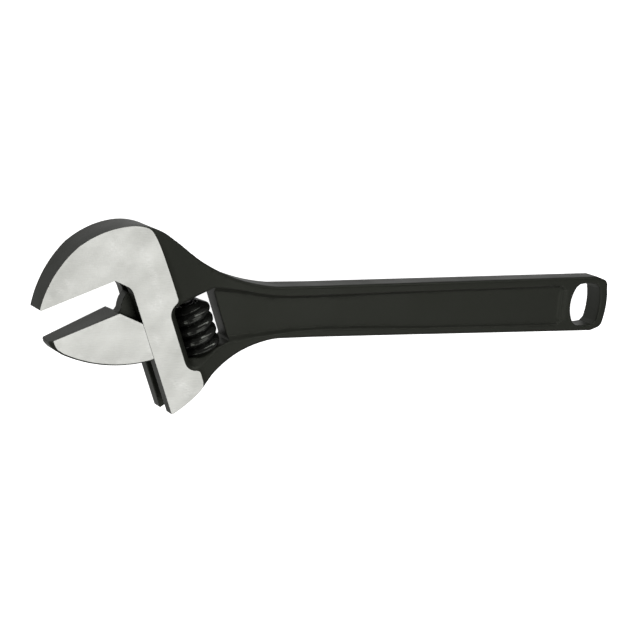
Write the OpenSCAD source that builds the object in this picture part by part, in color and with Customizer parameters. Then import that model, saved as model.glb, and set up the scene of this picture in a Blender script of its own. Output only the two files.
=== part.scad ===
// Adjustable wrench, 12 inch class: one forged body with the fixed jaw and the handle, and a
// movable jaw whose toothed rack slides in the head and is driven by a threaded knurl on a pin.
// The wrench lies flat: +X runs along the handle to the hanging hole and +Z is up. The origin
// is under the middle of the wrench, on the surface that it lies on.

/* [Jaws] */
// Distance between the jaw faces as the wrench is stored
jaw_opening = 14; // [10:0.5:20]
// Widest distance between the jaw faces
max_opening = 34; // [30:0.5:34]
// Angle between the jaw faces and the handle
jaw_angle = 22.5; // [22:0.1:23]
// Distance of the jaw tips from the slide line
jaw_reach = 38.7; // [37:0.1:39]
// Length of the slide line from the handle axis to the heel corner
heel_reach = 46; // [44:0.5:46]

/* [Head] */
// Half thickness of the head at the slide line
head_half = 8.53; // [8.4:0.01:9]
// How much half the thickness grows for each millimetre away from the jaw tips
head_taper = 0.084; // [0.07:0.001:0.09]
// Edge of the ground face on the handle side, from the slide line
ground_edge = 17.45; // [17:0.05:18]
// How far the forged surface lies below the ground face
ground_step = 0.35; // [0.2:0.05:0.5]

/* [Handle] */
// Half height of the handle where it leaves the head
neck_half = 11.7; // [11.2:0.1:12.2]
// Half height of the handle at its end
end_half = 13.8; // [13.2:0.1:14.4]
// Height of the handle's middle line over the crossing of the slide line and the head's axis
handle_axis = 0.3; // [0:0.05:0.6]
// Distance of the handle's end from the slide line
handle_end = 258; // [252:0.2:262]
// Half thickness of the rails where they leave the head
rail_half = 6.4; // [6:0.1:6.8]
// Half thickness of the rails at the handle's end
rail_end_half = 5.3; // [5:0.1:5.6]
// Half thickness of the panel between the rails
web_half = 4.27; // [3.8:0.01:4.6]

/* [Knurl] */
// Outer radius of the knurl's thread
knurl_r = 9.2; // [9.1:0.05:9.3]
// Depth of the knurl's thread
thread_depth = 2; // [1.8:0.1:2.2]
// Pitch of the thread and of the rack
pitch = 5.2; // [5.1:0.05:5.3]
// Hand of the thread
hand = 1; // [1:right, -1:left]
// Length of the knurl
knurl_length = 21.7; // [20:0.1:22]
// Radius of the pin that the knurl turns on
pin_r = 2.5; // [2.3:0.1:2.6]
// Radius of the pin's threaded end
pin_thread_r = 3; // [2.9:0.1:3.2]

/* [Rack] */
// Radius of the round rack
rack_r = 6.2; // [6.1:0.05:6.25]
// Distance of the rack's axis from the slide line
rack_k = 10.4; // [10.3:0.05:10.4]
// Half thickness of the neck between the jaw and its rack
neck_web_half = 2.8; // [2.5:0.05:3.2]

/* [Clearances] */
// Gap around the rack and beside its neck
slide_gap = 0.25; // [0.2:0.01:0.28]
// Gap between the movable jaw and the slide line
seam_gap = 0.12; // [0.1:0.01:0.2]
// Radial gap between the knurl and its pin
pin_gap = 0.06; // [0.04:0.01:0.1]

/* [Hidden] */
$fn = 96;

// The head has its own directions: s runs along the slide line towards the heel, so the jaws
// open towards +s, and k runs square to it, away from the jaw tips.
face_s = -19.8;
jaw_s = face_s + jaw_opening;
close_travel = jaw_opening;
open_travel = max_opening - jaw_opening;

// The overall box of the wrench, which the origin is set by
tip = head_point(face_s - 0.6, -jaw_reach - 0.15);
heel = head_point(heel_reach, 0);
outline_top = 39.07;
centre_x = (tip[0] + handle_end) / 2;
centre_y = (outline_top + heel[1]) / 2;
lift = head_half + head_taper * ground_edge;

// The window holds the knurl, and its pin crosses it along s
window_s0 = 1.8;
window_s1 = 27;
window_k0 = 15.2;
window_k1 = 36.35;
// The bevel beside the ground face starts on the ground face at one and ends in the window's
// wall at the other
bevel_k = 12.75;
bevel_half = 7.06;
knurl_k = 24.4;
// A crest of the thread crosses the plane of the knurl's axis here, on the handle's side
crest_s = 8.8;
knurl_s1 = window_s1 - 0.12;
knurl_s0 = knurl_s1 - knurl_length;
// The counterbore in the knurl's upper end, which holds the spring
counterbore_r = 4.4;
counterbore_depth = 6;
pin_s0 = -7.5;
pin_s1 = 34.5;
pin_thread_s = window_s1 + 1;

// The rack reaches past both ends of the knurl at every opening
rack_s0 = jaw_s - 5.2;
rack_s1 = jaw_s + 31.8;
channel_s0 = rack_s0 - close_travel - 1;
slot_half = neck_web_half + slide_gap;
// Each groove of the rack is this wide at its floor and where it opens, and this deep
groove_floor_half = 0.88;
groove_top_half = 1.55;
groove_depth = 1.7;

// The forged shoulder falls from the ground face to the handle's rails over these distances
shoulder_k = 36;
shoulder_half = 7;
shoulder_end_k = 62;

// The handle widens between these distances from the slide line
widen_x0 = 86;
widen_x1 = 250;
// The rounded corners of its end start this far before the end, and the end is bowed by this much
corner_length = 8.5;
end_bow = 0.9;

// The handle's panel and the hole that it hangs by
panel_x0 = 34;
panel_x1 = 229;
hole_x = 243.5;

// A point of the head in the handle's directions
function head_point(s, k) = [
    s * sin(jaw_angle) + k * cos(jaw_angle),
    -s * cos(jaw_angle) + k * sin(jaw_angle)
];

// The centre of the circle through three points
function circle_centre(a, b, c) =
    let (d = 2 * (a[0] * (b[1] - c[1]) + b[0] * (c[1] - a[1]) + c[0] * (a[1] - b[1])))
    let (aa = a * a, bb = b * b, cc = c * c)
    [
        (aa * (b[1] - c[1]) + bb * (c[1] - a[1]) + cc * (a[1] - b[1])) / d,
        (aa * (c[0] - b[0]) + bb * (a[0] - c[0]) + cc * (b[0] - a[0])) / d
    ];

// An angle brought into the range from 0 to 360
function turned(angle) = angle - 360 * floor(angle / 360);

// Points along the arc from a through b to c
function arc(a, b, c, steps = 8) =
    let (m = circle_centre(a, b, c), r = norm(a - m))
    let (a0 = atan2(a[1] - m[1], a[0] - m[0]))
    let (left_b = turned(atan2(b[1] - m[1], b[0] - m[0]) - a0))
    let (left_c = turned(atan2(c[1] - m[1], c[0] - m[0]) - a0))
    let (sweep = left_b < left_c ? left_c : left_c - 360)
    [for (i = [0:steps]) m + r * [cos(a0 + sweep * i / steps), sin(a0 + sweep * i / steps)]];

// Half the height of the handle at a distance x from the slide line
function handle_half(x) =
    neck_half + (end_half - neck_half) * max(0, x - widen_x0) / (widen_x1 - widen_x0);

// The outer edge of the body, from the fixed jaw's tip over the head and round the handle
function body_outline() = concat(
    [head_point(face_s, -jaw_reach)],
    arc(tip, [-38.3, 18.9], [-29.1, 30.4], 10),
    arc([-29, 30.4], [-18.7, 36.25], [-7.2, 38.95], 10),
    arc([-7, 38.97], [3.6, 37.75], [10.3, 34.5], 8),
    [[15.5, 31.2], [20.7, 27.6]],
    arc([24.5, 25.05], [41.3, 17.1], [66, handle_axis + neck_half], 10),
    handle_end_outline(),
    arc([68, handle_axis - neck_half], [50, -16.1], [35.6, -25.5], 10),
    arc([31.4, -30.5], [25.6, -36.4], heel, 6),
    throat_outline()
);

// The handle's rounded end, from its upper edge to its lower edge
function handle_end_outline() =
    let (x0 = handle_end - corner_length, x1 = handle_end - end_bow)
    let (half = handle_half(x0), upper = handle_axis + half, lower = handle_axis - half)
    concat(
        [[widen_x0, handle_axis + neck_half], [x0, upper]],
        arc([x1 - 2.5, upper - 1.6], [x1 - 0.6, upper - 3], [x1, upper - 5.3], 4),
        arc([x1, upper - 5.6], [handle_end, handle_axis], [x1, lower + 6.4], 6),
        arc([x1 - 0.4, lower + 4.6], [x1 - 1.4, lower + 2.6], [x1 - 3.1, lower + 1.4], 4),
        [[x0, lower], [widen_x0, handle_axis - neck_half]]
    );

// The throat between the slide line and the fixed jaw's face
function throat_outline() = concat(
    arc(head_point(-11.5, 0), head_point(-13.9, -0.5), head_point(-15.6, -1.7), 4),
    [head_point(face_s, -5.7)]
);

// The movable jaw's outline in s and k, with its jaw face at s = 0
function jaw_outline() = concat(
    [[0, -8.2], [8.2, -seam_gap], [25, -seam_gap]],
    arc([25.1, -2], [19.9, -18.5], [7.1, -36.1], 10),
    arc([4.4, -38.1], [1.8, -39.3], [0, -39.2], 3)
);

// The upper edge of the neck that joins the jaw to its rack, with the jaw face at s = 0
function neck_outline() = concat(
    arc([1.2, -6.8], [-1.4, -4.5], [-4.4, -1.9], 5),
    [[-5.2, 0], [-5.2, rack_k], [25, rack_k], [25, -seam_gap], [20, -seam_gap], [16, -8]]
);

// Moves the head's directions to their place in the wrench
module in_head() {
    rotate([0, 0, jaw_angle - 90]) children();
}

// Moves the slide line's crossing with the handle axis to its place over the origin
module in_place() {
    translate([-centre_x, -centre_y, lift]) children();
}

// The space between the two ground faces, from the jaw tips to the edge of the ground face
module ground_wedge(k0, k1) {
    profile = [
        [k0, -head_half - head_taper * k0],
        [k1, -head_half - head_taper * k1],
        [k1, head_half + head_taper * k1],
        [k0, head_half + head_taper * k0]
    ];
    along_s(profile);
}

// Runs a profile in k and z along the slide direction
module along_s(profile, s0 = -70, s1 = 70) {
    translate([s0, 0, 0])
    rotate([90, 0, 90])
    linear_extrude(s1 - s0)
    polygon(profile);
}

// The forged stretch from the ground face down to the rails
module shoulder_slab() {
    edge_half = head_half + head_taper * ground_edge - ground_step;
    upper = [
        [ground_edge - 1, edge_half],
        [ground_edge, edge_half],
        [shoulder_k, shoulder_half],
        [shoulder_end_k, rail_half]
    ];
    lower = [for (i = [len(upper) - 1:-1:0]) [upper[i][0], -upper[i][1]]];
    along_s(concat(upper, lower));
}

// The slab that the handle is cut from
module handle_slab() {
    x0 = 52;
    profile = [
        [x0, -rail_half],
        [handle_end + 1, -rail_end_half],
        [handle_end + 1, rail_end_half],
        [x0, rail_half]
    ];
    translate([0, 60, 0])
    rotate([90, 0, 0])
    linear_extrude(120)
    polygon(profile);
}

// The panel's outline: it runs out of the window and widens towards the hanging hole
module panel_shape() {
    polygon(concat(
        [[panel_x0, 10.6], [47, 9.4]],
        arc([56, 7.8], [64, 6.9], [74, 6.6], 5),
        [[panel_x1 - 1, 9.2], [panel_x1, 8.2], [panel_x1, -8.2], [panel_x1 - 1, -9.2]],
        arc([92, -6.7], [78, -7], [64, -8], 5),
        [[52, -9.2], [41, -10.4]]
    ));
}

// The hanging hole: straight rims above and below and bowed ends
module hanging_hole() {
    points = concat(
        arc([hole_x - 6.5, 8.9], [hole_x - 9.4, 0], [hole_x - 6.5, -8.9], 8),
        arc([hole_x - 4.5, -10.3], [hole_x + 1, -10.6], [hole_x + 6.2, -10.1], 4),
        arc([hole_x + 8.2, -8.2], [hole_x + 9.4, 0], [hole_x + 8.2, 8.2], 8),
        arc([hole_x + 6.2, 10.1], [hole_x + 1, 10.6], [hole_x - 4.5, 10.3], 4)
    );
    linear_extrude(30, center = true) polygon(points);
}

// The sunken panels on both faces of the handle
module panel_recesses() {
    for (side = [0, 1]) {
        mirror([0, 0, side])
        translate([0, 0, web_half])
        linear_extrude(20)
        panel_shape();
    }
}

// The keyhole channel that the rack slides in: a round bore with a slot to the slide line
module rack_channel() {
    translate([channel_s0, rack_k, 0])
    rotate([0, 90, 0])
    cylinder(h = 100, r = rack_r + slide_gap);
    slot = [
        [channel_s0, rack_k],
        [channel_s0, -2.2],
        [face_s - 0.5, -8.4],
        [face_s + 8, -8.4],
        [face_s + 8, -3],
        [70, -3],
        [70, rack_k]
    ];
    linear_extrude(2 * slot_half, center = true) polygon(slot);
}

// The window for the knurl, with the bevel on both edges beside the ground faces
module knurl_window() {
    ground_half = head_half + head_taper * bevel_k;
    slope = (ground_half - bevel_half) / (window_k0 - bevel_k);
    reach = 5;
    side = [
        [window_k0, bevel_half],
        [window_k0 - reach, bevel_half + slope * reach],
        [window_k1, bevel_half + slope * reach]
    ];
    other_side = [for (i = [len(side) - 1:-1:0]) [side[i][0], -side[i][1]]];
    along_s(concat(side, other_side), window_s0, window_s1);
}

// A round hole or shaft along s, on the knurl's axis
module knurl_axis_cylinder(s0, s1, r) {
    translate([s0, knurl_k, 0])
    rotate([0, 90, 0])
    cylinder(h = s1 - s0, r = r);
}

module body() {
    color([0.13, 0.14, 0.12])
    in_place()
    difference() {
        intersection() {
            linear_extrude(30, center = true) polygon(body_outline());
            union() {
                in_head() ground_wedge(-60, ground_edge);
                in_head() shoulder_slab();
                handle_slab();
            }
        }
        panel_recesses();
        hanging_hole();
        in_head() {
            rack_channel();
            knurl_window();
            knurl_axis_cylinder(pin_s0, window_s0 + 1, pin_r);
            knurl_axis_cylinder(window_s1 - 1, pin_thread_s, pin_r);
            knurl_axis_cylinder(pin_thread_s, 60, pin_thread_r);
        }
    }
}

// The grooves between the rack's teeth, one for each turn of the thread beside it
module rack_grooves() {
    // The crests face the rack half a turn away from the handle's side
    first = crest_s + pitch / 2;
    turns_below = floor((rack_s0 - first) / pitch);
    turns_above = ceil((rack_s1 - first) / pitch);
    lead_angle = atan(pitch / (2 * PI * (knurl_r - 0.5)));
    floor_k = knurl_k - knurl_r - 0.35;
    top_k = floor_k + groove_depth;
    groove = [
        [-groove_floor_half, floor_k],
        [-groove_top_half, top_k],
        [-groove_top_half, knurl_k],
        [groove_top_half, knurl_k],
        [groove_top_half, top_k],
        [groove_floor_half, floor_k]
    ];
    for (turn = [turns_below:turns_above]) {
        translate([first + turn * pitch, 0, 0])
        rotate([0, -hand * lead_angle, 0])
        linear_extrude(16, center = true)
        polygon(groove);
    }
}

module movable_jaw() {
    color([0.72, 0.72, 0.70])
    in_place()
    in_head()
    difference() {
        union() {
            intersection() {
                translate([jaw_s, 0, 0])
                linear_extrude(30, center = true)
                polygon(jaw_outline());
                ground_wedge(-60, 10);
            }
            translate([jaw_s, 0, 0])
            linear_extrude(2 * neck_web_half, center = true)
            polygon(neck_outline());
            translate([rack_s0, rack_k, 0])
            rotate([0, 90, 0])
            cylinder(h = rack_s1 - rack_s0, r = rack_r);
        }
        rack_grooves();
    }
}

// How much of the thread's depth stands at a phase from 0 to 1, with its crest at 0
function crest(phase) = min(1, max(0, cos(360 * phase) + 0.35));

// The knurl's radius at a distance s and an angle, with chamfered ends
function knurl_radius(s, angle) =
    let (wave = crest((s - crest_s) / pitch - hand * angle / 360))
    let (end = min(s - knurl_s0, knurl_s1 - s))
    min(knurl_r - thread_depth * (1 - wave), knurl_r - 1.6 + end);

// The threaded solid: rings of points at equal steps along s, closed by a flat fan at each end
module threaded_solid() {
    sides = 40;
    rings = 50;
    ring_s = [for (i = [0:rings]) knurl_s0 + knurl_length * i / rings];
    wall = [
        for (i = [0:rings], j = [0:sides - 1])
        let (angle = 360 * j / sides, r = knurl_radius(ring_s[i], angle))
        [ring_s[i], knurl_k + r * cos(angle), r * sin(angle)]
    ];
    centres = [[knurl_s0, knurl_k, 0], [knurl_s1, knurl_k, 0]];
    start = len(wall);
    quads = [
        for (i = [0:rings - 1], j = [0:sides - 1])
        let (a = i * sides + j, b = i * sides + (j + 1) % sides)
        each [[a, a + sides, b + sides], [a, b + sides, b]]
    ];
    caps = [
        for (j = [0:sides - 1])
        let (next = (j + 1) % sides, last = rings * sides)
        each [[start, j, next], [start + 1, last + next, last + j]]
    ];
    polyhedron(points = concat(wall, centres), faces = concat(quads, caps), convexity = 10);
}

module knurl() {
    color([0.05, 0.05, 0.05])
    in_place()
    in_head()
    difference() {
        threaded_solid();
        knurl_axis_cylinder(knurl_s0 - 1, knurl_s1 + 1, pin_r + pin_gap);
        knurl_axis_cylinder(knurl_s0 - 1, knurl_s0 + counterbore_depth, counterbore_r);
    }
}

// The pin, with a screwdriver slot in its threaded end
module knurl_pin() {
    slot_width = 1;
    slot_depth = 1.2;
    color([0.16, 0.16, 0.15])
    in_place()
    in_head()
    difference() {
        union() {
            knurl_axis_cylinder(pin_s0, pin_thread_s, pin_r);
            knurl_axis_cylinder(pin_thread_s, pin_s1, pin_thread_r);
        }
        translate([pin_s1 - slot_depth, knurl_k - 5, -slot_width / 2])
        cube([2, 10, slot_width]);
    }
}

// The spring that takes up the knurl's play, wound round the pin inside the knurl's counterbore
module knurl_spring() {
    coil_r = 3.55;
    wire_r = 0.4;
    turns = 6;
    steps = 24 * turns;
    sides = 8;
    s0 = window_s0 + 0.03;
    s1 = knurl_s0 + counterbore_depth - 0.03;
    rise = s1 - s0 - 2 * wire_r;
    points = [
        for (i = [0:steps], j = [0:sides - 1])
        let (turn = 360 * turns * i / steps, side = 360 * j / sides)
        let (r = coil_r + wire_r * cos(side))
        [s0 + wire_r + rise * i / steps + wire_r * sin(side), knurl_k + r * cos(turn), r * sin(turn)]
    ];
    wall = [
        for (i = [0:steps - 1], j = [0:sides - 1])
        let (a = i * sides + j, b = i * sides + (j + 1) % sides)
        each [[a, a + sides, b + sides], [a, b + sides, b]]
    ];
    ends = [[for (j = [0:sides - 1]) j], [for (j = [sides - 1:-1:0]) steps * sides + j]];
    color([0.45, 0.45, 0.45])
    in_place()
    in_head()
    polyhedron(points = points, faces = concat(wall, ends), convexity = 12);
}

body();
movable_jaw();
knurl();
knurl_pin();
knurl_spring();
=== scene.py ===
import math

import bmesh
import bpy
import numpy as np
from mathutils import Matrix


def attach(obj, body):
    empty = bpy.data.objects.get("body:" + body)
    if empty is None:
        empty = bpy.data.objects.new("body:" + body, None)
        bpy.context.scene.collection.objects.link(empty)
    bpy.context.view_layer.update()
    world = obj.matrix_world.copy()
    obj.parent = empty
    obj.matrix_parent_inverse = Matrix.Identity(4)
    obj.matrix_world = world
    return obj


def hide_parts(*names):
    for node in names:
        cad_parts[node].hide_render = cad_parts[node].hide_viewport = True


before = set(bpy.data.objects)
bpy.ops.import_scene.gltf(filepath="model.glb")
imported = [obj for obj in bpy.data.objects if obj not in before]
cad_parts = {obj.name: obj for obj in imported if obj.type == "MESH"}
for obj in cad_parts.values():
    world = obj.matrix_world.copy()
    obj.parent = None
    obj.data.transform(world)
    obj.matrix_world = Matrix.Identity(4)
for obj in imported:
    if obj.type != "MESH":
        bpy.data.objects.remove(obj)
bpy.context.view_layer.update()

import openvdb
from mathutils import Matrix

# Everything is worked out in millimetres in the wrench's own frame. Its origin is where the
# slide line of the movable jaw crosses the handle's axis, at the middle of the thickness. x runs
# along the handle and z up. In the head, s runs along the slide line in the direction in which
# the jaw opens, and k runs square to it, from the jaw tips towards the handle.
JAW_ANGLE = math.radians(22.5)
SIN_A, COS_A = math.sin(JAW_ANGLE), math.cos(JAW_ANGLE)

# The jaws: where their working faces stand at rest, how far they reach and where the heel is
FACE_S = -19.8
JAW_S = -5.8
JAW_REACH = 38.7
HEEL_S = 46.0

# The ground faces: half the thickness at the slide line, how it grows with k, and the edge
HEAD_HALF = 8.53
HEAD_TAPER = 0.084
GROUND_EDGE = 17.45

# The handle: its end, the height of its middle line, and half its height at either end of the
# stretch over which it widens
HANDLE_END = 258.0
HANDLE_AXIS = 0.3
WIDEN_X0, WIDEN_X1 = 86, 250
HALF_HEIGHT_0, HALF_HEIGHT_1 = 11.7, 13.8
WEB_HALF = 4.27
HOLE_X = 243.5

# The forging's half thickness on the handle's side: at places k on the head, then along x
SHOULDER_K, SHOULDER_END_K = 36, 62
RAIL_X0 = 52
RAIL_HALF_0, RAIL_HALF_1 = 6.4, 5.3

# Where the middle of the wrench's box lies, which is the origin of the finished model
LIFT = 9.9958
CENTRE_X, CENTRE_Y = 107.15026907, -1.71422925

# The knurl, its pin and the window
PITCH = 5.2
HAND = 1
KNURL_K = 24.4
KNURL_R = 9.2
KNURL_S0, KNURL_S1 = 5.18, 26.88
CREST_S = 8.8
COUNTERBORE_R, COUNTERBORE_DEPTH = 4.4, 6.0
PIN_R, PIN_THREAD_R = 2.5, 3.0
PIN_HOLE_S = -7.5
WINDOW_S0, WINDOW_S1 = 1.8, 27.0
WINDOW_K0, WINDOW_K1 = 15.2, 36.35

# The rack, its neck and the channel that they slide in
RACK_K = 10.4
RACK_R = 6.2
RACK_BACK, RACK_FRONT = 5.2, 31.8
GROOVE_FLOOR, GROOVE_TOP, GROOVE_DEPTH = 0.88, 1.55, 1.7
SLIDE_GAP = 0.25
SLOT_HALF = 3.05
NECK_HALF = 2.8
SEAM_GAP = 0.12
CHANNEL_S = -26
THROAT_K = -8.4


# ---------------------------------------------------------------- outlines

def head_point(s, k):
    """A place in the wrench's frame from the head's directions s and k."""
    return (s * SIN_A + k * COS_A, -s * COS_A + k * SIN_A)


def along(x, y):
    """The head's directions s and k of a place in the wrench's frame."""
    return x * SIN_A - y * COS_A, x * COS_A + y * SIN_A


def arc(a, b, c, steps):
    """Points along the circle from a through b to c."""
    (ax, ay), (bx, by), (cx, cy) = a, b, c
    d = 2 * (ax * (by - cy) + bx * (cy - ay) + cx * (ay - by))
    aa, bb, cc = ax * ax + ay * ay, bx * bx + by * by, cx * cx + cy * cy
    mx = (aa * (by - cy) + bb * (cy - ay) + cc * (ay - by)) / d
    my = (aa * (cx - bx) + bb * (ax - cx) + cc * (bx - ax)) / d
    r = math.hypot(ax - mx, ay - my)
    start = math.atan2(ay - my, ax - mx)
    to_b = (math.atan2(by - my, bx - mx) - start) % (2 * math.pi)
    to_c = (math.atan2(cy - my, cx - mx) - start) % (2 * math.pi)
    sweep = to_c if to_b < to_c else to_c - 2 * math.pi
    turns = [start + sweep * i / steps for i in range(steps + 1)]
    return [(mx + r * math.cos(t), my + r * math.sin(t)) for t in turns]


def curve(points, steps=6):
    """A smooth curve through the points."""
    p = [np.array(q, float) for q in points]
    p = [2 * p[0] - p[1]] + p + [2 * p[-1] - p[-2]]
    out = []
    for i in range(1, len(p) - 2):
        for j in range(steps):
            t = j / steps
            a, b, c, d = p[i - 1], p[i], p[i + 1], p[i + 2]
            q = b + 0.5 * t * (c - a + t * (2 * a - 5 * b + 4 * c - d + t * (3 * (b - c) + d - a)))
            out.append(tuple(q))
    return out + [tuple(p[-2])]


def handle_half(x):
    """Half the height of the handle."""
    part = max(0, x - WIDEN_X0) / (WIDEN_X1 - WIDEN_X0)
    return HALF_HEIGHT_0 + (HALF_HEIGHT_1 - HALF_HEIGHT_0) * part


def handle_end_outline():
    """The handle's rounded end, which is bowed between its two corners."""
    corner_length, bow = 8.5, 0.9
    x0, x1 = HANDLE_END - corner_length, HANDLE_END - bow
    upper, lower = HANDLE_AXIS + handle_half(x0), HANDLE_AXIS - handle_half(x0)
    return (
        [(WIDEN_X0, HANDLE_AXIS + HALF_HEIGHT_0), (x0, upper)]
        + arc((x1 - 2.5, upper - 1.6), (x1 - 0.6, upper - 3), (x1, upper - 5.3), 8)
        + arc((x1, upper - 5.6), (HANDLE_END, HANDLE_AXIS), (x1, lower + 6.4), 12)
        + arc((x1 - 0.4, lower + 4.6), (x1 - 1.4, lower + 2.6), (x1 - 3.1, lower + 1.4), 8)
        + [(x0, lower), (WIDEN_X0, HANDLE_AXIS - HALF_HEIGHT_0)]
    )


# The body from the fixed jaw's tip over the head, round the handle and back along the throat
BODY_OUTLINE = (
    [head_point(FACE_S, -JAW_REACH)]
    + arc(head_point(FACE_S - 0.6, -JAW_REACH - 0.15), (-38.3, 18.9), (-29.1, 30.4), 14)
    + arc((-29, 30.4), (-18.7, 36.25), (-7.2, 38.95), 14)
    + arc((-7, 38.97), (3.6, 37.75), (10.3, 34.5), 12)
    + [(15.5, 31.2), (20.7, 27.6)]
    + arc((24.5, 25.05), (41.3, 17.1), (66, HANDLE_AXIS + HALF_HEIGHT_0), 20)
    + handle_end_outline()
    + arc((68, HANDLE_AXIS - HALF_HEIGHT_0), (50, -16.1), (35.6, -25.5), 18)
    + arc((31.4, -30.5), (25.6, -36.4), head_point(HEEL_S, 0), 8)
    + arc(head_point(-11.5, 0), head_point(-13.9, -0.5), head_point(-15.6, -1.7), 8)
    + [head_point(FACE_S, -5.7)]
)

# Where the head is ground, in s and k: its edge on the handle's side bends in at the top
GROUND_REGION = (
    [(-70, -60), (-70, 0), (-39.5, 8.6)]
    + curve([(-37.2, 11.8), (-34.8, 14.75), (-31.2, 16.05), (-23.8, 16.9), (-10, 17.35)])
    + [(2, GROUND_EDGE), (37.4, GROUND_EDGE), (39.3, 17.0), (43, 15.6), (70, 8), (70, -60)]
)

# The floor of the recess: it runs round the window and on between the handle's rails
RECESS = (
    [head_point(5.5, 17.9), head_point(26.2, 17.9)]
    + curve([head_point(26.1, 20.5), head_point(24.9, 26.8), head_point(24.3, 31), (42.6, -9.4)])
    + curve([(46, -9.35), (56, -8.4), (66, -7.6), (78, -6.75), (95, -6.45), (120, -7.1), (150, -7.9)])
    + [(226.6, -8.8), (227.4, -8), (227.4, 8), (226.6, 8.9)]
    + curve([(150, 7.65), (120, 7.1), (95, 6.6), (78, 6.3), (63, 6.8), (49, 8.7), (37, 10)])
    + curve([head_point(4.1, 35), head_point(4.3, 28)])
)

# The hanging hole: bowed ends and nearly straight rims
HOLE = (
    arc((HOLE_X - 6.5, 8.9), (HOLE_X - 9.4, 0), (HOLE_X - 6.5, -8.9), 14)
    + arc((HOLE_X - 4.5, -10.3), (HOLE_X + 1, -10.6), (HOLE_X + 6.2, -10.1), 6)
    + arc((HOLE_X + 8.2, -8.2), (HOLE_X + 9.4, 0), (HOLE_X + 8.2, 8.2), 14)
    + arc((HOLE_X + 6.2, 10.1), (HOLE_X + 1, 10.6), (HOLE_X - 4.5, 10.3), 6)
)

# The movable jaw in s and k, with its working face at s = 0
JAW_BOW = arc((25.1, -2), (19.9, -18.5), (7.1, -36.1), 20)
JAW_OUTLINE = (
    [(0, -8.2), (8.2, -SEAM_GAP), (25, -SEAM_GAP)]
    + JAW_BOW
    + curve([(4.4, -38.1), (1.8, -39.3), (0, -39.2)])
)
# The same, with only its curved back and tip where they are, for the bevel along them
JAW_BACK = (
    [(-60, 30), (30, 30), (25.2, -SEAM_GAP)]
    + JAW_BOW
    + curve([(4.4, -38), (1.6, -39.2), (-1, -39.6), (-60, -39.6)])
)
# The neck between the jaw and its rack, in the same directions
NECK_OUTLINE = (
    curve([(1.2, -6.8), (0.1, -5.3), (-1.6, -4.3), (-3.3, -3.0), (-4.6, -1.4)])
    + [(-RACK_BACK, 0), (-RACK_BACK, RACK_K), (25, RACK_K), (25, -SEAM_GAP), (20, -SEAM_GAP), (16, -8)]
)


# ---------------------------------------------------------------- signed distances

def polygon_distance(x, y, points):
    """Distance to a closed outline, negative inside it."""
    shape = np.broadcast(x, y).shape
    best = np.full(shape, 1e12)
    inside = np.zeros(shape, bool)
    corners = np.array(points, float)
    for a, b in zip(corners, np.roll(corners, -1, axis=0)):
        ex, ey = b - a
        length = ex * ex + ey * ey
        if length < 1e-12:
            continue
        wx, wy = x - a[0], y - a[1]
        t = np.clip((wx * ex + wy * ey) / length, 0, 1)
        best = np.minimum(best, (wx - t * ex) ** 2 + (wy - t * ey) ** 2)
        if abs(ey) > 1e-12:
            inside ^= ((a[1] > y) != (b[1] > y)) & (x < a[0] + wy * ex / ey)
    return np.where(inside, -1, 1) * np.sqrt(best)


def both(a, b, r=0.0):
    """What is in both shapes, with the edge between them rounded to a radius r."""
    u, v = np.maximum(a + r, 0), np.maximum(b + r, 0)
    return np.minimum(np.maximum(a, b), -r) + np.sqrt(u * u + v * v)


def either(a, b, r=0.0):
    """What is in either shape, with a fillet of radius r between them."""
    return -both(-a, -b, r)


def soft_min(a, b, width):
    """The smaller of two values, with a smooth change from one to the other."""
    h = np.maximum(width - np.abs(a - b), 0) / width
    return np.minimum(a, b) - h * h * width / 4


def soft_max(a, b, width):
    return -soft_min(-a, -b, width)


def box_distance(a, half_a, b, half_b, r):
    """A long bar with a rectangular section and corners of radius r."""
    u, v = np.abs(a) - half_a + r, np.abs(b) - half_b + r
    outside = np.sqrt(np.maximum(u, 0) ** 2 + np.maximum(v, 0) ** 2)
    return outside + np.minimum(np.maximum(u, v), 0) - r


def tube_distance(k, z, k0, r):
    """A long round bar along s, with its axis at k0."""
    return np.sqrt((k - k0) ** 2 + z * z) - r


def ground_faces(x, y, z):
    """The wedge between the two ground faces."""
    s, k = along(x, y)
    return (np.abs(z) - HEAD_HALF - HEAD_TAPER * k) / math.hypot(1, HEAD_TAPER)


def fall(at, start, end, high, low):
    """A height that falls evenly from high at the start to low at the end, and on."""
    return high - (at - start) * (high - low) / (end - start)


def shoulder_height(k, x):
    """Half the thickness of the forging on the handle's side of the ground face."""
    from_edge = GROUND_EDGE + np.abs(k - GROUND_EDGE)
    near = fall(from_edge, GROUND_EDGE, SHOULDER_K, 9.65, 7.0)
    far = fall(k, SHOULDER_K, SHOULDER_END_K, 6.95, 6.35)
    handle = fall(x, RAIL_X0, HANDLE_END, RAIL_HALF_0, RAIL_HALF_1)
    return soft_max(soft_max(near, far, 1.2), handle, 0.5)


def between(value, start, end):
    """Goes from 0 at the start to 1 at the end, and no further."""
    return np.clip((value - start) / (end - start), 0, 1)


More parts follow.
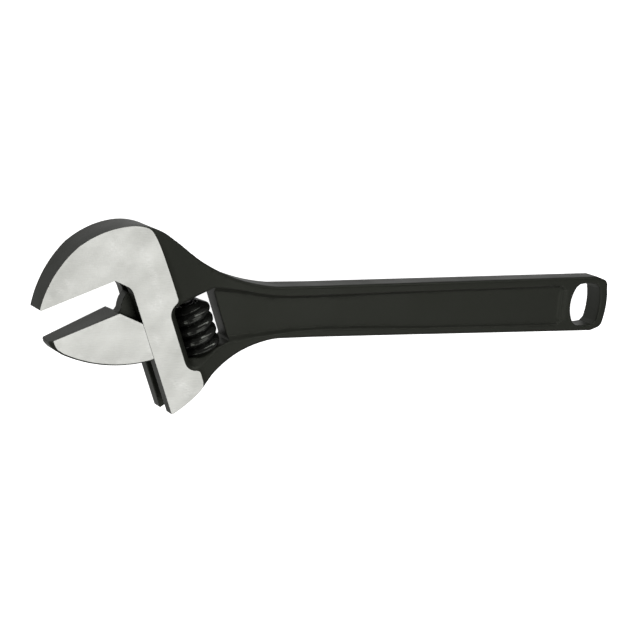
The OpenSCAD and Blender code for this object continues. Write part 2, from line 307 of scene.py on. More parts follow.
def forged_body(x, y, z):
    """The forging before its faces are ground and its channel and bores are machined."""
    s, k = along(x, y)
    ground = HEAD_HALF + HEAD_TAPER * k
    recess = polygon_distance(x, y, RECESS)

    # The silver ends where the forging falls away from the ground plane, also round the window
    notch_reach, notch_round, drop = 5.75, 1.6, 0.42
    off_ground = polygon_distance(s, k, GROUND_REGION)
    off_ground = both(off_ground, notch_reach - recess, notch_round)
    height = soft_max(ground - drop * off_ground, shoulder_height(k, x), 0.25)

    # The recess has sloping walls, which are gentlest at its far end and softer near the head
    slope = 1.1 + 0.15 * between(x, 44, 56)
    slope = slope - 0.9 * between(x, 226, 229) * between(-np.abs(y), -9.5, -7.5)
    floor = WEB_HALF + slope * np.maximum(recess, 0)
    sharp = between(x, 38, 48)
    floor = soft_max(floor, WEB_HALF + 0.02 * recess, 0.9 - 0.45 * sharp)
    height = soft_min(height, floor, 0.7 - 0.35 * sharp)
    slab = (np.abs(z) - height) / np.sqrt(1 + np.where(floor < height + 0.3, 0.8, 0.02))

    # The outer edges are sharp on the jaw and round on the handle
    outline = polygon_distance(x, y, BODY_OUTLINE)
    solid = both(outline, slab, 0.35 + 1.05 * between(x, 8, 48))

    middle_s, half_s = (WINDOW_S0 + WINDOW_S1) / 2, (WINDOW_S1 - WINDOW_S0) / 2
    middle_k, half_k = (WINDOW_K0 + WINDOW_K1) / 2, (WINDOW_K1 - WINDOW_K0) / 2
    window_corner, window_edge, hole_edge = 1.1, 0.35, 0.75
    window = box_distance(s - middle_s, half_s, k - middle_k, half_k, window_corner)
    solid = both(solid, -window, window_edge)
    return both(solid, -polygon_distance(x, y, HOLE), hole_edge)


def machined_body(x, y, z):
    """The channel for the rack and the bores for the pin, as a shape to take away."""
    s, k = along(x, y)
    channel = both(tube_distance(k, z, RACK_K, RACK_R + SLIDE_GAP), CHANNEL_S - s, 0.3)
    gap = np.maximum(np.abs(z) - SLOT_HALF, k - RACK_K)

    # The slot runs out at the heel, and in the fixed jaw its end wall slopes to the throat
    slot_s, overlap = -9, 1
    slot = np.maximum(gap, slot_s - s)
    end_wall = (CHANNEL_S - s) * 0.736 + (-2.2 - k) * 0.677
    throat = np.maximum(np.maximum(gap, end_wall), np.maximum(THROAT_K - k, s - slot_s - overlap))
    taken = np.minimum(channel, np.minimum(slot, throat))

    bore = np.maximum(tube_distance(k, z, KNURL_K, PIN_R), PIN_HOLE_S - s)
    screw = np.maximum(tube_distance(k, z, KNURL_K, PIN_THREAD_R), WINDOW_S1 + 1 - s)
    return np.minimum(taken, np.minimum(bore, screw))


def black_body(x, y, z):
    """The forging after machining, before its faces are ground."""
    return both(forged_body(x, y, z), -machined_body(x, y, z), 0.3)


def rack_grooves(s, k, z):
    """The grooves between the teeth of the rack, as a shape to take away."""
    crest_gap, mean_depth = 0.35, 0.5
    lead = PITCH / (2 * math.pi * (KNURL_R - mean_depth))
    place = s - CREST_S - PITCH / 2 + HAND * z * lead
    place = np.abs(place - PITCH * np.round(place / PITCH))
    depth = k - (KNURL_K - KNURL_R - crest_gap)
    wide = GROOVE_FLOOR + (GROOVE_TOP - GROOVE_FLOOR) * np.clip(depth / GROOVE_DEPTH, -2, 1)
    return both(place - wide, -depth)


def black_jaw(x, y, z):
    """The movable jaw before its faces are ground."""
    s, k = along(x, y)
    t = s - JAW_S
    ground = ground_faces(x, y, z)
    allowance = 0.6
    jaw = np.maximum(polygon_distance(t, k, JAW_OUTLINE), ground - allowance)

    # A bevel runs along the back and round the tip, and one along the far edge of the face
    tip_k, tip_round, back_bevel, far_bevel, nowhere = -38.5, 1.5, 0.75, 0.8, -50.0
    back = both(polygon_distance(t, k, JAW_BACK), tip_k - k, tip_round)
    jaw = both(jaw, (back + ground + back_bevel) / math.sqrt(2), 0.25)
    far_edge = np.where(z < 0, (ground - t + far_bevel) / math.sqrt(2), nowhere)
    jaw = both(jaw, far_edge, 0.2)
    jaw = both(jaw, k + SEAM_GAP, 0.12)

    grooves = rack_grooves(s, k, z)
    neck = np.maximum(polygon_distance(t, k, NECK_OUTLINE), np.abs(z) - NECK_HALF)
    neck = np.maximum(neck, -grooves)
    length = np.abs(t - (RACK_FRONT - RACK_BACK) / 2) - (RACK_FRONT + RACK_BACK) / 2
    rack = both(tube_distance(k, z, RACK_K, RACK_R), length, 0.7)
    rack = both(rack, -grooves, 0.25)
    return either(either(jaw, neck, 0.5), rack, 0.2)


# ---------------------------------------------------------------- meshes

# How often points are moved towards a surface
ROUNDS = 3


def slope_of(shape, p, step=0.02):
    """The gradient of a distance at points p."""
    out = np.empty_like(p)
    for i in range(3):
        q = p.copy()
        q[:, i] += step
        ahead = shape(q[:, 0], q[:, 1], q[:, 2])
        q[:, i] -= 2 * step
        out[:, i] = (ahead - shape(q[:, 0], q[:, 1], q[:, 2])) / (2 * step)
    return out


def limited(step, reach):
    """Steps cut down to a reach."""
    size = np.linalg.norm(step, axis=1)
    step *= np.minimum(1, reach / np.maximum(size, 1e-9))[:, None]
    return step


def onto_surface(shape, p, reach):
    """Moves the points onto the surface of a shape."""
    for _ in range(ROUNDS):
        d = shape(p[:, 0], p[:, 1], p[:, 2])
        g = slope_of(shape, p)
        step = g * (d / np.maximum((g * g).sum(1), 0.05))[:, None]
        p = p - limited(step, reach)
    return p


def onto_both(first, second, p, reach):
    """Moves the points onto the line where two surfaces meet."""
    for _ in range(ROUNDS):
        a, b = first(p[:, 0], p[:, 1], p[:, 2]), second(p[:, 0], p[:, 1], p[:, 2])
        g, h = slope_of(first, p), slope_of(second, p)
        gg, hh, gh = (g * g).sum(1) + 1e-3, (h * h).sum(1) + 1e-3, (g * h).sum(1)
        det = gg * hh - gh * gh
        u, v = (hh * a - gh * b) / det, (gg * b - gh * a) / det
        step = g * u[:, None] + h * v[:, None]
        p = p - limited(step, reach)
    return p


def surface_of(shape, low, high, cell, flatness):
    """Points and triangles on the surface of a shape."""
    x, y, z = [np.arange(a, b + cell, cell) for a, b in zip(low, high)]
    field = shape(x[:, None, None], y[None, :, None], z[None, None, :])
    band = 3 * cell
    grid = openvdb.FloatGrid(band)
    grid.copyFromArray(np.clip(field, -band, band).astype(np.float32))
    points, threes, fours = grid.convertToPolygons(isovalue=0.0, adaptivity=flatness)
    threes = np.asarray(threes, np.int64).reshape(-1, 3)
    fours = np.asarray(fours, np.int64).reshape(-1, 4)
    faces = np.concatenate([threes, fours[:, [0, 1, 2]], fours[:, [0, 2, 3]]])
    return points.astype(float) * cell + np.array(low, float), faces


def split_between(points, faces, value, settle):
    """Cuts every triangle along the line where the value passes zero."""
    value = np.where(np.abs(value) < 1e-4, 1e-4, value)
    positive = value > 0
    count = positive[faces].sum(1)
    whole = faces[(count == 0) | (count == 3)]
    cut = faces[(count == 1) | (count == 2)]
    flags = positive[cut]
    lone = np.where(flags.sum(1) == 1, np.argmax(flags, 1), np.argmin(flags, 1))
    rows = np.arange(len(cut))
    a, b, c = cut[rows, lone], cut[rows, (lone + 1) % 3], cut[rows, (lone + 2) % 3]
    ends = np.sort(np.concatenate([np.stack([a, b], 1), np.stack([a, c], 1)]), axis=1)
    edges, place = np.unique(ends, axis=0, return_inverse=True)
    place = place.reshape(-1)
    u, v = value[edges[:, 0]], value[edges[:, 1]]
    t = (u / (u - v))[:, None]
    made = points[edges[:, 0]] * (1 - t) + points[edges[:, 1]] * t
    made = settle(made)
    ab, ac = place[: len(a)] + len(points), place[len(a):] + len(points)
    small = np.stack([a, ab, ac], 1)
    large = np.concatenate([np.stack([ab, b, c], 1), np.stack([ab, c, ac], 1)])
    side = np.concatenate([positive[whole[:, 0]], positive[a], np.tile(~positive[a], 2)])
    return np.concatenate([points, made]), np.concatenate([whole, small, large]), side


def clean_faces(points, faces, side):
    """Leaves out triangles with no area."""
    a, b, c = points[faces[:, 0]], points[faces[:, 1]], points[faces[:, 2]]
    area = np.linalg.norm(np.cross(b - a, c - a), axis=1)
    keep = area > 1e-9
    return faces[keep], side[keep]


def to_row(points):
    """Places in metres in the finished model's frame."""
    return (points + np.array([-CENTRE_X, -CENTRE_Y, LIFT])) / 1000


def make_object(name, points, faces, normals=None, side=None):
    """A mesh object from points in millimetres, with a normal for each corner of each face."""
    mesh = bpy.data.meshes.new(name)
    verts = to_row(points)
    size = faces.shape[1]
    mesh.vertices.add(len(verts))
    mesh.vertices.foreach_set("co", verts.astype(np.float32).ravel())
    mesh.loops.add(faces.size)
    mesh.loops.foreach_set("vertex_index", faces.astype(np.int32).ravel())
    mesh.polygons.add(len(faces))
    mesh.polygons.foreach_set("loop_start", np.arange(0, faces.size, size, dtype=np.int32))
    if side is not None:
        mesh.polygons.foreach_set("material_index", side.astype(np.int32))
    mesh.update(calc_edges=True)
    mesh.polygons.foreach_set("use_smooth", np.ones(len(faces), bool))
    if normals is not None:
        mesh.normals_split_custom_set(normals.reshape(-1, 3))
    return linked(name, mesh)


def linked(name, data):
    """An object for some data, in the scene."""
    obj = bpy.data.objects.new(name, data)
    bpy.context.scene.collection.objects.link(obj)
    return obj


def unit(v):
    """Vectors with a length of 1."""
    return v / np.maximum(np.linalg.norm(v, axis=-1, keepdims=True), 1e-9)


def ground_piece(name, shape, low, high, cell):
    """A forging with its two sides ground flat: silver where the grinding reached it."""
    def whole(x, y, z):
        return np.maximum(shape(x, y, z), ground_faces(x, y, z))

    points, faces = surface_of(whole, low, high, cell, 0.02)
    points = onto_surface(whole, points, cell * 0.6)
    reached = ground_faces(*points.T) - shape(*points.T)
    points, faces, side = split_between(
        points, faces, reached,
        lambda p: onto_both(shape, ground_faces, p, cell * 0.5),
    )
    faces, side = clean_faces(points, faces, side)
    forged = unit(slope_of(shape, points, 0.06))
    flat = unit(slope_of(ground_faces, points))
    normals = np.where(side[:, None, None], flat[faces], forged[faces])
    obj = make_object(name, points, faces, normals, side)
    # The edge attribute drives a painted highlight: the convex edges are made paler in the material.
    mark_edges(obj, sharpness(shape, points))
    return obj


def sharpness(shape, points, step=0.45):
    """How far each point lies on an outer edge, from 0 to 1."""
    total = -6 * shape(*points.T)
    for i in range(3):
        for sign in (-1, 1):
            q = points.copy()
            q[:, i] += sign * step
            total += shape(*q.T)
    return np.clip(total / step - 0.25, 0, 1)


# ---------------------------------------------------------------- turned and threaded pieces

def knurl_radius(s, angle):
    """The thread's radius: fat rounded crests and narrow roots, chamfered at both ends."""
    depth, flat, ridge, ridges_per_turn = 2.15, 0.18, 0.05, 4.5
    phase = (s - CREST_S) / PITCH - HAND * angle / (2 * math.pi)
    wave = np.abs(phase - np.round(phase)) * 2
    crest = 1 - np.clip((wave - flat) / (1 - flat), 0, 1) ** 1.7
    crest = crest * 0.88 + 0.12 * np.cos(wave * math.pi / 2)
    ridges = ridge * np.cos(2 * math.pi * ridges_per_turn * (phase - 0.06)) * (wave < 0.8)
    r = KNURL_R - ridge - depth * (1 - crest) + ridges * (1 - wave)
    upper = KNURL_R - 4.0 + 1.15 * (s - KNURL_S0)
    lower = KNURL_R - 1.15 + 1.1 * (KNURL_S1 - s)
    return soft_min(soft_min(r, upper, 0.5), lower, 0.5)


def around(rows, sides):
    """Quads between rows of points that each go once round an axis."""
    i = np.arange(rows)[:, None]
    j = np.arange(sides)[None, :]
    nxt = (i + 1) % rows
    over = (j + 1) % sides
    return np.stack([i * sides + j, i * sides + over, nxt * sides + over, nxt * sides + j], -1)


def on_axis(s, r, angle):
    """Points at a distance s, radius r and angle round the knurl's axis."""
    k = KNURL_K + r * np.cos(angle)
    z = r * np.sin(angle)
    x, y = head_point(s, k)
    return np.stack(np.broadcast_arrays(x, y, z), -1)


def axis_distance(points):
    """How far points lie from the knurl's axis."""
    k = along(points[:, 0], points[:, 1])[1]
    return np.hypot(k - KNURL_K, points[:, 2])


def mark_edges(obj, painted_edge_highlight):
    """Writes how much painted highlight each point gets, from 0 to 1, for the material."""
    painted_highlight_attribute = obj.data.attributes.new("edge", "FLOAT", "POINT")
    painted_highlight_attribute.data.foreach_set("value", np.clip(painted_edge_highlight, 0, 1).astype(np.float32))


def knurl_piece():
    """The knurl: its thread, then its lower end, its bore, its counterbore and its upper end."""
    sides, rows = 168, 190
    angle = np.arange(sides) * 2 * math.pi / sides
    s = np.linspace(KNURL_S0, KNURL_S1, rows)[:, None]
    wall = on_axis(s, knurl_radius(s, angle[None, :]), angle[None, :])
    bore, step = PIN_R + 0.06, KNURL_S0 + COUNTERBORE_DEPTH
    inner = [
        (KNURL_S1, KNURL_R - 2.2),
        (KNURL_S1, bore + 0.5),
        (KNURL_S1 - 0.4, bore),
        (step, bore),
        (step, bore + 0.05),
        (step, COUNTERBORE_R - 0.05),
        (step - 0.05, COUNTERBORE_R),
        (KNURL_S0 + 0.4, COUNTERBORE_R),
        (KNURL_S0, COUNTERBORE_R + 0.35),
        (KNURL_S0, KNURL_R - 4.2),
    ]
    rest = [on_axis(a + 0 * angle, b, angle) for a, b in inner]
    points = np.concatenate([wall.reshape(-1, 3)] + rest)
    faces = around(rows + len(inner), sides).reshape(-1, 4)
    obj = make_object("knurl_threaded", points, faces)
    # The edge attribute drives a painted highlight on the thread crests.
    mark_edges(obj, (axis_distance(points) - KNURL_R + 0.4) / 0.35)
    obj.data.set_sharp_from_angle(angle=math.radians(38))
    return obj


def weld(mesh, reach):
    """Joins points that lie within a reach in metres, which closes the ends of a turned piece."""
    welded = bmesh.new()
    welded.from_mesh(mesh)
    bmesh.ops.remove_doubles(welded, verts=welded.verts, dist=reach)
    welded.to_mesh(mesh)
    welded.free()


def pin_piece():
    """The pin: a plain shaft, then a fine thread and a recessed end."""
    sides = 64
    angle = np.arange(sides) * 2 * math.pi / sides
    crest, root, thread_pitch, start, recess, end = 2.95, 2.6, 0.7, -7.4, 33.2, 34.4
    thread = []
    s = WINDOW_S1 + 1.5
    while s < recess:
        thread += [(s, crest), (s + 0.2, crest), (s + 0.4, root), (s + 0.5, root)]
        s += thread_pitch
    profile = [(start, 0.01), (start, 2.1), (start + 0.4, PIN_R), (WINDOW_S1 + 1, PIN_R)]
    profile += [(WINDOW_S1 + 1.05, 2.7)] + thread + [(end - 0.5, crest), (end, 2.55)]
    profile += [(end, 0.6), (recess, 0.58), (recess, 0.01)]
    points = np.concatenate([on_axis(a + 0 * angle, b, angle) for a, b in profile])
    faces = around(len(profile), sides)[:-1].reshape(-1, 4)
    obj = make_object("pin_turned", points, faces)
    # The edge attribute drives a painted highlight on the thread crests.
    mark_edges(obj, (axis_distance(points) - root) / 0.3)
    weld(obj.data, 2.5e-5)
    obj.data.set_sharp_from_angle(angle=math.radians(35))
    return obj


def spring_piece():
    """The spring wound round the pin, with its last turns closed."""
    turns, sides, per_turn, gap = 6.0, 18, 56, 0.03
    steps = int(turns * per_turn)
    coil, wire = 3.55, 0.4
    low, high = WINDOW_S0 + gap + wire, KNURL_S0 + COUNTERBORE_DEPTH - gap - wire
    t = np.linspace(0, 1, steps + 1)
    turn = 2 * math.pi * turns * t
    closed = 0.14
    ramp = np.clip((t - closed) / (1 - 2 * closed), 0, 1)
    rise = 0.5 * closed * np.minimum(t / closed, 1) + (1 - closed) * ramp
    rise = rise + 0.5 * closed * np.clip((t - 1 + closed) / closed, 0, 1)
    s = low + (high - low) * rise
    ring = np.arange(sides) * 2 * math.pi / sides
    r = coil + wire * np.cos(ring)[None, :]
    place = s[:, None] + wire * np.sin(ring)[None, :]
    points = on_axis(place, r, turn[:, None])
    tip0 = on_axis(s[0], coil, turn[0])[None, :]
    tip1 = on_axis(s[-1], coil, turn[-1])[None, :]
    faces = around(steps + 1, sides)[:-1].reshape(-1, 4)
    count = (steps + 1) * sides
    j = np.arange(sides)
    over = (j + 1) % sides
    start = np.stack([j * 0 + count, over, j, j], 1)
    last = steps * sides
    end = np.stack([j * 0 + count + 1, last + j, last + over, last + over], 1)
    mesh = bpy.data.meshes.new("spring_wound")
    verts = to_row(np.concatenate([points.reshape(-1, 3), tip0, tip1]))
    polygons = [tuple(int(i) for i in f[::-1]) for f in faces]
    polygons += [tuple(int(i) for i in f[2::-1]) for f in start]
    polygons += [tuple(int(i) for i in f[2::-1]) for f in end]
    mesh.from_pydata([tuple(v) for v in verts], [], polygons)
    mesh.polygons.foreach_set("use_smooth", np.ones(len(mesh.polygons), bool))
    obj = linked("spring_wound", mesh)
    # Painted highlight: the outer side of the wire is made paler.
    painted_outer_highlight = np.tile(np.cos(ring), steps + 1)
    mark_edges(obj, np.concatenate([painted_outer_highlight, [1.0, 1.0]]))
    return obj


# ---------------------------------------------------------------- materials

class Nodes:
    """A short way to build a material's nodes."""

    def __init__(self, name):
        self.material = bpy.data.materials.new(name)
        self.material.use_nodes = True
        self.tree = self.material.node_tree
        self.tree.nodes.clear()
        self.output = self.tree.nodes.new("ShaderNodeOutputMaterial")
        self.shader = self.tree.nodes.new("ShaderNodeBsdfPrincipled")
        self.link(self.shader.outputs["BSDF"], self.output.inputs["Surface"])
        self.place = self.tree.nodes.new("ShaderNodeTexCoord").outputs["Object"]

    def link(self, a, b):
        self.tree.links.new(a, b)

    def set(self, **values):
        for key, value in values.items():
            self.shader.inputs[key.replace("_", " ")].default_value = value

    def scaled(self, x, y, z, turn=(0, 0, 0)):
        node = self.tree.nodes.new("ShaderNodeMapping")
        node.inputs["Scale"].default_value = (x * 1000, y * 1000, z * 1000)
        turned = self.place
        if any(turn):
            spin = self.tree.nodes.new("ShaderNodeMapping")
            spin.inputs["Rotation"].default_value = turn
            self.link(self.place, spin.inputs["Vector"])
            turned = spin.outputs["Vector"]
        self.link(turned, node.inputs["Vector"])
        return node.outputs["Vector"]

    def noise(self, vector, scale, detail=3.0, rough=0.5, distortion=0.0):
        node = self.tree.nodes.new("ShaderNodeTexNoise")
        node.inputs["Scale"].default_value = scale
        node.inputs["Detail"].default_value = detail
        node.inputs["Roughness"].default_value = rough
        node.inputs["Distortion"].default_value = distortion
        self.link(vector, node.inputs["Vector"])
        return node.outputs["Fac"]

    def ramp(self, value, *stops):
        node = self.tree.nodes.new("ShaderNodeValToRGB")
        ramp = node.color_ramp
        while len(ramp.elements) < len(stops):
            ramp.elements.new(0.5)
        for element, (at, colour) in zip(ramp.elements, stops):
            element.position = at
            element.color = (*colour, 1.0)
        self.link(value, node.inputs["Fac"])
        return node.outputs["Color"]

    def mix(self, factor, a, b):
        node = self.tree.nodes.new("ShaderNodeMix")
        node.data_type = "RGBA"
        for value, name in ((factor, "Factor_Float"), (a, "A_Color"), (b, "B_Color")):
            socket = [i for i in node.inputs if i.identifier == name][0]
            if isinstance(value, bpy.types.NodeSocket):
                self.link(value, socket)
            else:
                socket.default_value = value
        return [o for o in node.outputs if o.identifier == "Result_Color"][0]

    def maths(self, operation, a, b):
        node = self.tree.nodes.new("ShaderNodeMath")
        node.operation = operation
        for i, value in enumerate((a, b)):
            if isinstance(value, bpy.types.NodeSocket):
                self.link(value, node.inputs[i])
            else:
                node.inputs[i].default_value = value
        return node.outputs["Value"]

    def spread(self, value, low, high, start=0.0, end=1.0):
        node = self.tree.nodes.new("ShaderNodeMapRange")
        node.inputs["From Min"].default_value = start
        node.inputs["From Max"].default_value = end
        node.inputs["To Min"].default_value = low
        node.inputs["To Max"].default_value = high
        self.link(value, node.inputs["Value"])
        return node.outputs["Result"]

    def attribute(self, name):
        node = self.tree.nodes.new("ShaderNodeAttribute")
        node.attribute_name = name
        return node.outputs["Fac"]

    def bump(self, height, millimetres, strength=1.0, under=None):
        node = self.tree.nodes.new("ShaderNodeBump")
        node.inputs["Strength"].default_value = strength
        node.inputs["Distance"].default_value = millimetres / 1000
        self.link(height, node.inputs["Height"])
        if under is not None:
            self.link(under, node.inputs["Normal"])
        return node.outputs["Normal"]


def grey(value, warm):
    """A grey that leans towards red as warm grows."""
    return (value * (1 + warm), value, value * (1 - warm))


def black_finish(name, dark, light, gloss):
    """Phosphated and oiled forging steel: fine grain, soft blotches, and paler edges that are a
    painted highlight.
    """
    n = Nodes(name)
    patches = n.noise(n.scaled(0.05, 0.05, 0.05), 1.0, 4.0, 0.55)
    grain = n.noise(n.scaled(1, 1, 1), 2.6, 3.0, 0.6)
    peel = n.noise(n.scaled(1, 1, 1), 0.55, 3.0, 0.5)
    specks = n.noise(n.scaled(1, 1, 1), 7.0, 1.0, 0.4)
    low, high = (dark, dark * 1.08, dark * 0.78), (light, light * 1.08, light * 0.78)
    colour = n.ramp(patches, (0.3, low), (0.7, high))
    colour = n.mix(n.spread(specks, 0.0, 0.35, 0.55, 0.8), colour, (0.03, 0.031, 0.027, 1))
    # Painted highlight: the convex edges are mixed towards a paler grey.
    painted_edge_highlight = n.maths("MULTIPLY", n.attribute("edge"), n.spread(grain, 0.15, 0.8, 0.35, 0.65))
    colour = n.mix(n.maths("MULTIPLY", painted_edge_highlight, 0.55), colour, (0.075, 0.077, 0.07, 1))
    n.link(colour, n.shader.inputs["Base Color"])
    rough = n.maths("ADD", n.spread(patches, gloss - 0.05, gloss + 0.07, 0.3, 0.7),
                    n.spread(grain, -0.05, 0.05))
    n.link(rough, n.shader.inputs["Roughness"])
    normal = n.bump(peel, 0.05, 0.5)
    n.link(n.bump(grain, 0.022, 0.8, normal), n.shader.inputs["Normal"])
    n.set(Specular_IOR_Level=0.3, Specular_Tint=(0.95, 1.0, 0.86, 1))
    return n.material


def ground_finish(name, turn):
    """Steel ground on a belt: fine streaks along one direction over soft pale blotches, with broad
    pale bands that are a painted reflection, and paler edges that are a painted highlight.
    """
    n = Nodes(name)
    streaks = n.noise(n.scaled(0.2, 4.2, 1.0, (0, 0, turn)), 1.0, 4.0, 0.6, 0.1)
    # Painted reflection: broad pale bands stretched across the ground faces.
    painted_reflection_bands = n.noise(n.scaled(0.11, 0.035, 0.05, (0, 0, turn + 0.5)), 1.0, 2.0, 0.5, 0.2)
    clouds = n.noise(n.scaled(0.045, 0.06, 0.06), 1.0, 3.0, 0.5, 0.4)
    bites = n.noise(n.scaled(0.7, 2.6, 1.0, (0, 0, turn)), 1.0, 4.0, 0.7)
    tone = n.maths("ADD", n.maths("MULTIPLY", streaks, 0.46), n.maths("MULTIPLY", painted_reflection_bands, 0.26))
    tone = n.maths("ADD", tone, n.maths("MULTIPLY", clouds, 0.3))
    colour = n.ramp(tone, (0.36, (0.46, 0.464, 0.435)), (0.52, (0.6, 0.604, 0.572)),
                    (0.68, (0.72, 0.724, 0.69)))
    # Painted highlight: the edges are mixed towards a pale steel grey.
    painted_edge_highlight = n.maths("MULTIPLY", n.attribute("edge"), n.spread(bites, 0.0, 0.7, 0.4, 0.7))
    colour = n.mix(painted_edge_highlight, colour, (0.8, 0.8, 0.77, 1))
    n.link(colour, n.shader.inputs["Base Color"])
    n.link(n.spread(streaks, 0.34, 0.52, 0.3, 0.7), n.shader.inputs["Roughness"])
    normal = n.bump(streaks, 0.012, 0.55)
    n.link(n.bump(bites, 0.01, 0.35, normal), n.shader.inputs["Normal"])
    n.set(Metallic=1.0)
    return n.material


def knurl_finish(name):
    """Oiled black steel with fine turning marks along the thread, and paler thread crests that are a
    painted highlight.
    """
    n = Nodes(name)
    film = n.noise(n.scaled(0.4, 0.4, 0.4), 1.0, 3.0, 0.5)
    marks = n.noise(n.scaled(2.8, 0.35, 0.35, (0, 0, math.pi / 2 - JAW_ANGLE)), 1.0, 3.0, 0.55)
    colour = n.ramp(film, (0.3, (0.004, 0.0042, 0.0038)), (0.7, (0.009, 0.0092, 0.0085)))
    # Painted highlight: the thread crests are mixed towards a paler black.
    painted_edge_highlight = n.maths("MULTIPLY", n.attribute("edge"), n.spread(marks, 0.0, 0.5, 0.45, 0.7))
    colour = n.mix(painted_edge_highlight, colour, (0.03, 0.03, 0.028, 1))
    n.link(colour, n.shader.inputs["Base Color"])
    n.link(n.spread(film, 0.12, 0.2, 0.3, 0.7), n.shader.inputs["Roughness"])
    n.link(n.bump(marks, 0.015, 0.5), n.shader.inputs["Normal"])
    n.set(Specular_IOR_Level=0.5, Specular_Tint=(0.96, 1.0, 0.9, 1))
    return n.material


def steel_finish(name, tone, gloss):
    """Drawn wire or a turned pin: fine lines, faint oil stains, and a paler painted highlight on the
    thread crests and on the outer side of the wire.
    """
    n = Nodes(name)
    lines = n.noise(n.scaled(5.0, 0.5, 0.5, (0, 0, math.pi / 2 - JAW_ANGLE)), 1.0, 3.0, 0.6)
    stains = n.noise(n.scaled(0.7, 0.7, 0.7), 1.0, 3.0, 0.5)
    dark, light = tone * 0.7, tone * 1.15
    colour = n.ramp(stains, (0.3, grey(dark, 0.02)), (0.7, grey(light, 0.01)))
    # Painted highlight: the crests and the wire's outer side are mixed towards a paler grey.
    painted_edge_highlight = n.maths("MULTIPLY", n.attribute("edge"), n.spread(lines, 0.0, 0.6, 0.4, 0.7))
    colour = n.mix(painted_edge_highlight, colour, (*grey(tone * 2, 0.01), 1))
    n.link(colour, n.shader.inputs["Base Color"])
    n.link(n.spread(lines, gloss - 0.06, gloss + 0.1, 0.3, 0.7), n.shader.inputs["Roughness"])
    n.link(n.bump(lines, 0.008, 0.5), n.shader.inputs["Normal"])
    n.set(Metallic=1.0)
    return n.material


# ---------------------------------------------------------------- the pieces

def finish_piece(obj, body, node, slot, *materials):
    """Gives a piece its materials, the body it rides on and the CAD node it replaces, which it hides.
    The slot argument is not used.
    """
    for material in materials:
        obj.data.materials.append(material)
    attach(obj, body)
    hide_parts(node)


forging = black_finish("black_phosphate", 0.0085, 0.0125, 0.46)
# The jaw's black is a lighter copy of the forging's black: painted light for how the jaw's faces catch
# the light.
jaw_black = black_finish("black_phosphate_jaw", 0.012, 0.017, 0.42)
ground_head = ground_finish("ground_steel_head", 0.06)
ground_jaw = ground_finish("ground_steel_jaw", -0.05)

body_cell = 0.42
body = ground_piece("body_forging", black_body, (-48, -47, -11), (264, 42, 11), body_cell)
finish_piece(body, "frame", "body", "black_forging", forging, ground_head)

jaw_cell = 0.3
jaw = ground_piece("jaw_forging", black_jaw, (-48, -42, -10), (24, 18, 10), jaw_cell)
finish_piece(jaw, "jaw", "movable_jaw", "ground_jaw", jaw_black, ground_jaw)

oiled_steel = knurl_finish("oiled_knurl_steel")
finish_piece(knurl_piece(), "knurl", "knurl", "black_knurl", oiled_steel)
pin_steel = steel_finish("turned_pin_steel", 0.03, 0.4)
finish_piece(pin_piece(), "frame", "knurl_pin", "pin_steel", pin_steel)
# The spring wire's very dark tone is partly its own oiled black and partly painted shade for where it
# sits inside the knurl.
spring_wire = steel_finish("drawn_spring_wire", 0.06, 0.4)
finish_piece(spring_piece(), "frame", "knurl_spring", "spring_steel", spring_wire)


# ---------------------------------------------------------------- floor, light and camera

def light_table():
    """A pale glowing floor under a pale dome, as for a cut-out product picture.

    Neither throws light on the wrench, which is lit by the soft boxes alone."""
    size, rings, sides, below = 2.6, 10, 40, 0.0015
    corners = [(-size, -size, 0), (size, -size, 0), (size, size, 0), (-size, size, 0)]
    dome, faces = [], []
    for i in range(rings + 1):
        lift = math.pi / 2 * i / rings
        for j in range(sides):
            turn = 2 * math.pi * j / sides
            flat = 0.95 * size * math.cos(lift)
            dome.append((flat * math.cos(turn), flat * math.sin(turn), size * math.sin(lift)))
    for i in range(rings):
        for j in range(sides):
            a, b = i * sides + j, i * sides + (j + 1) % sides
            faces.append((a, a + sides, b + sides, b))
    material = bpy.data.materials.new("pale_stage")
    material.use_nodes = True
    shader = material.node_tree.nodes["Principled BSDF"]
    shader.inputs["Base Color"].default_value = (0.9, 0.9, 0.9, 1)
    shader.inputs["Roughness"].default_value = 0.8
    shader.inputs["Emission Color"].default_value = (1, 1, 1, 1)
    shader.inputs["Emission Strength"].default_value = 1.0
    for name, points, polygons in (("floor", corners, [(0, 1, 2, 3)]), ("dome", dome, faces)):
        mesh = bpy.data.meshes.new(name)
        mesh.from_pydata(points, [], polygons)
        mesh.materials.append(material)
        obj = linked(name, mesh)
        obj.location.z = -below
        obj.visible_diffuse = False
        obj.visible_glossy = False
        obj.visible_shadow = False


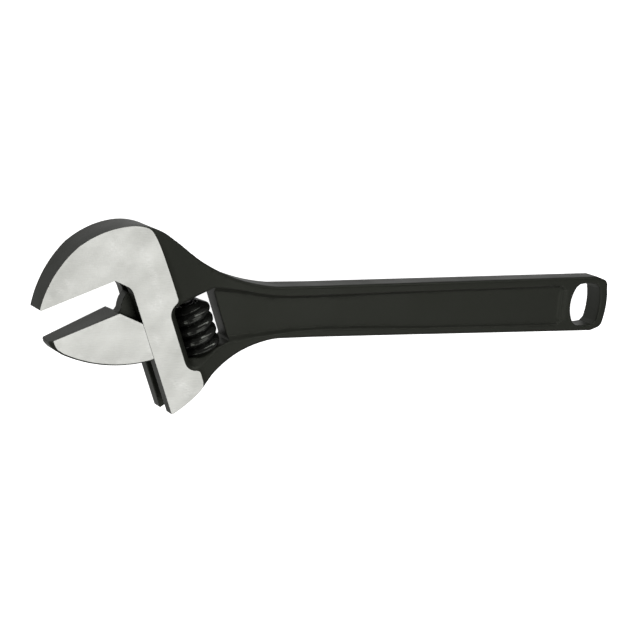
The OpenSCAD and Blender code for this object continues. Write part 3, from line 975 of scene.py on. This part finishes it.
def softbox(name, place, aim, width, height, power):
    """A soft rectangular light at a place, turned towards its aim."""
    data = bpy.data.lights.new(name, "AREA")
    data.shape = "RECTANGLE"
    data.size, data.size_y = width, height
    data.energy = power
    direction = np.array(place, float) - np.array(aim, float)
    direction /= np.linalg.norm(direction)
    side = np.cross((0, 0, 1), direction)
    side /= np.linalg.norm(side)
    up = np.cross(direction, side)
    turn = Matrix([[side[i], up[i], direction[i]] for i in range(3)])
    linked(name, data).matrix_world = Matrix.LocRotScale(place, turn, None)


def studio():
    """A dim even surrounding and the soft boxes."""
    world = bpy.data.worlds.new("studio")
    bpy.context.scene.world = world
    world.use_nodes = True
    background = world.node_tree.nodes["Background"]
    background.inputs["Color"].default_value = (1, 1, 1, 1)
    background.inputs["Strength"].default_value = 0.16
    softbox("overhead", (0.3, -0.3, 1.05), (0, 0, 0), 1.0, 1.0, 4.3)
    softbox("key", (0.15, 0.85, 0.6), (0, 0, 0), 1.3, 0.22, 4.6)
    softbox("fill", (-0.9, -0.35, 0.5), (-0.1, 0, 0), 0.5, 0.5, 1.8)
    softbox("low_side", (0.1, -0.95, 0.42), (0, 0, 0), 1.6, 0.14, 1.8)
    softbox("table_glow", (0, 0, -0.5), (0, 0.01, 0), 2.4, 2.4, 10.0)


def camera():
    """The view of the photograph, set from the directions of the wrench's own edges."""
    yaw, pitch, roll = math.radians(32.478), math.radians(11.776), math.radians(-5.637)
    about_y = Matrix.Rotation(yaw, 3, "Y")
    about_x = Matrix.Rotation(pitch, 3, "X")
    about_z = Matrix.Rotation(roll, 3, "Z")
    turn = about_z @ about_x @ about_y
    shift = np.array([-82.642, 4.303, -676.643])
    place = np.array(turn.transposed()) @ -shift
    middle = 8.5265
    place = to_row(place - np.array([0, 0, middle]))
    data = bpy.data.cameras.new("camera")
    data.lens, data.sensor_width = 90.0, 36.0
    data.clip_start, data.clip_end = 0.01, 20
    obj = linked("camera", data)
    obj.matrix_world = Matrix.LocRotScale(place, turn.transposed(), None)
    bpy.context.scene.camera = obj


light_table()
studio()
camera()
bpy.context.scene.view_settings.view_transform = "Standard"
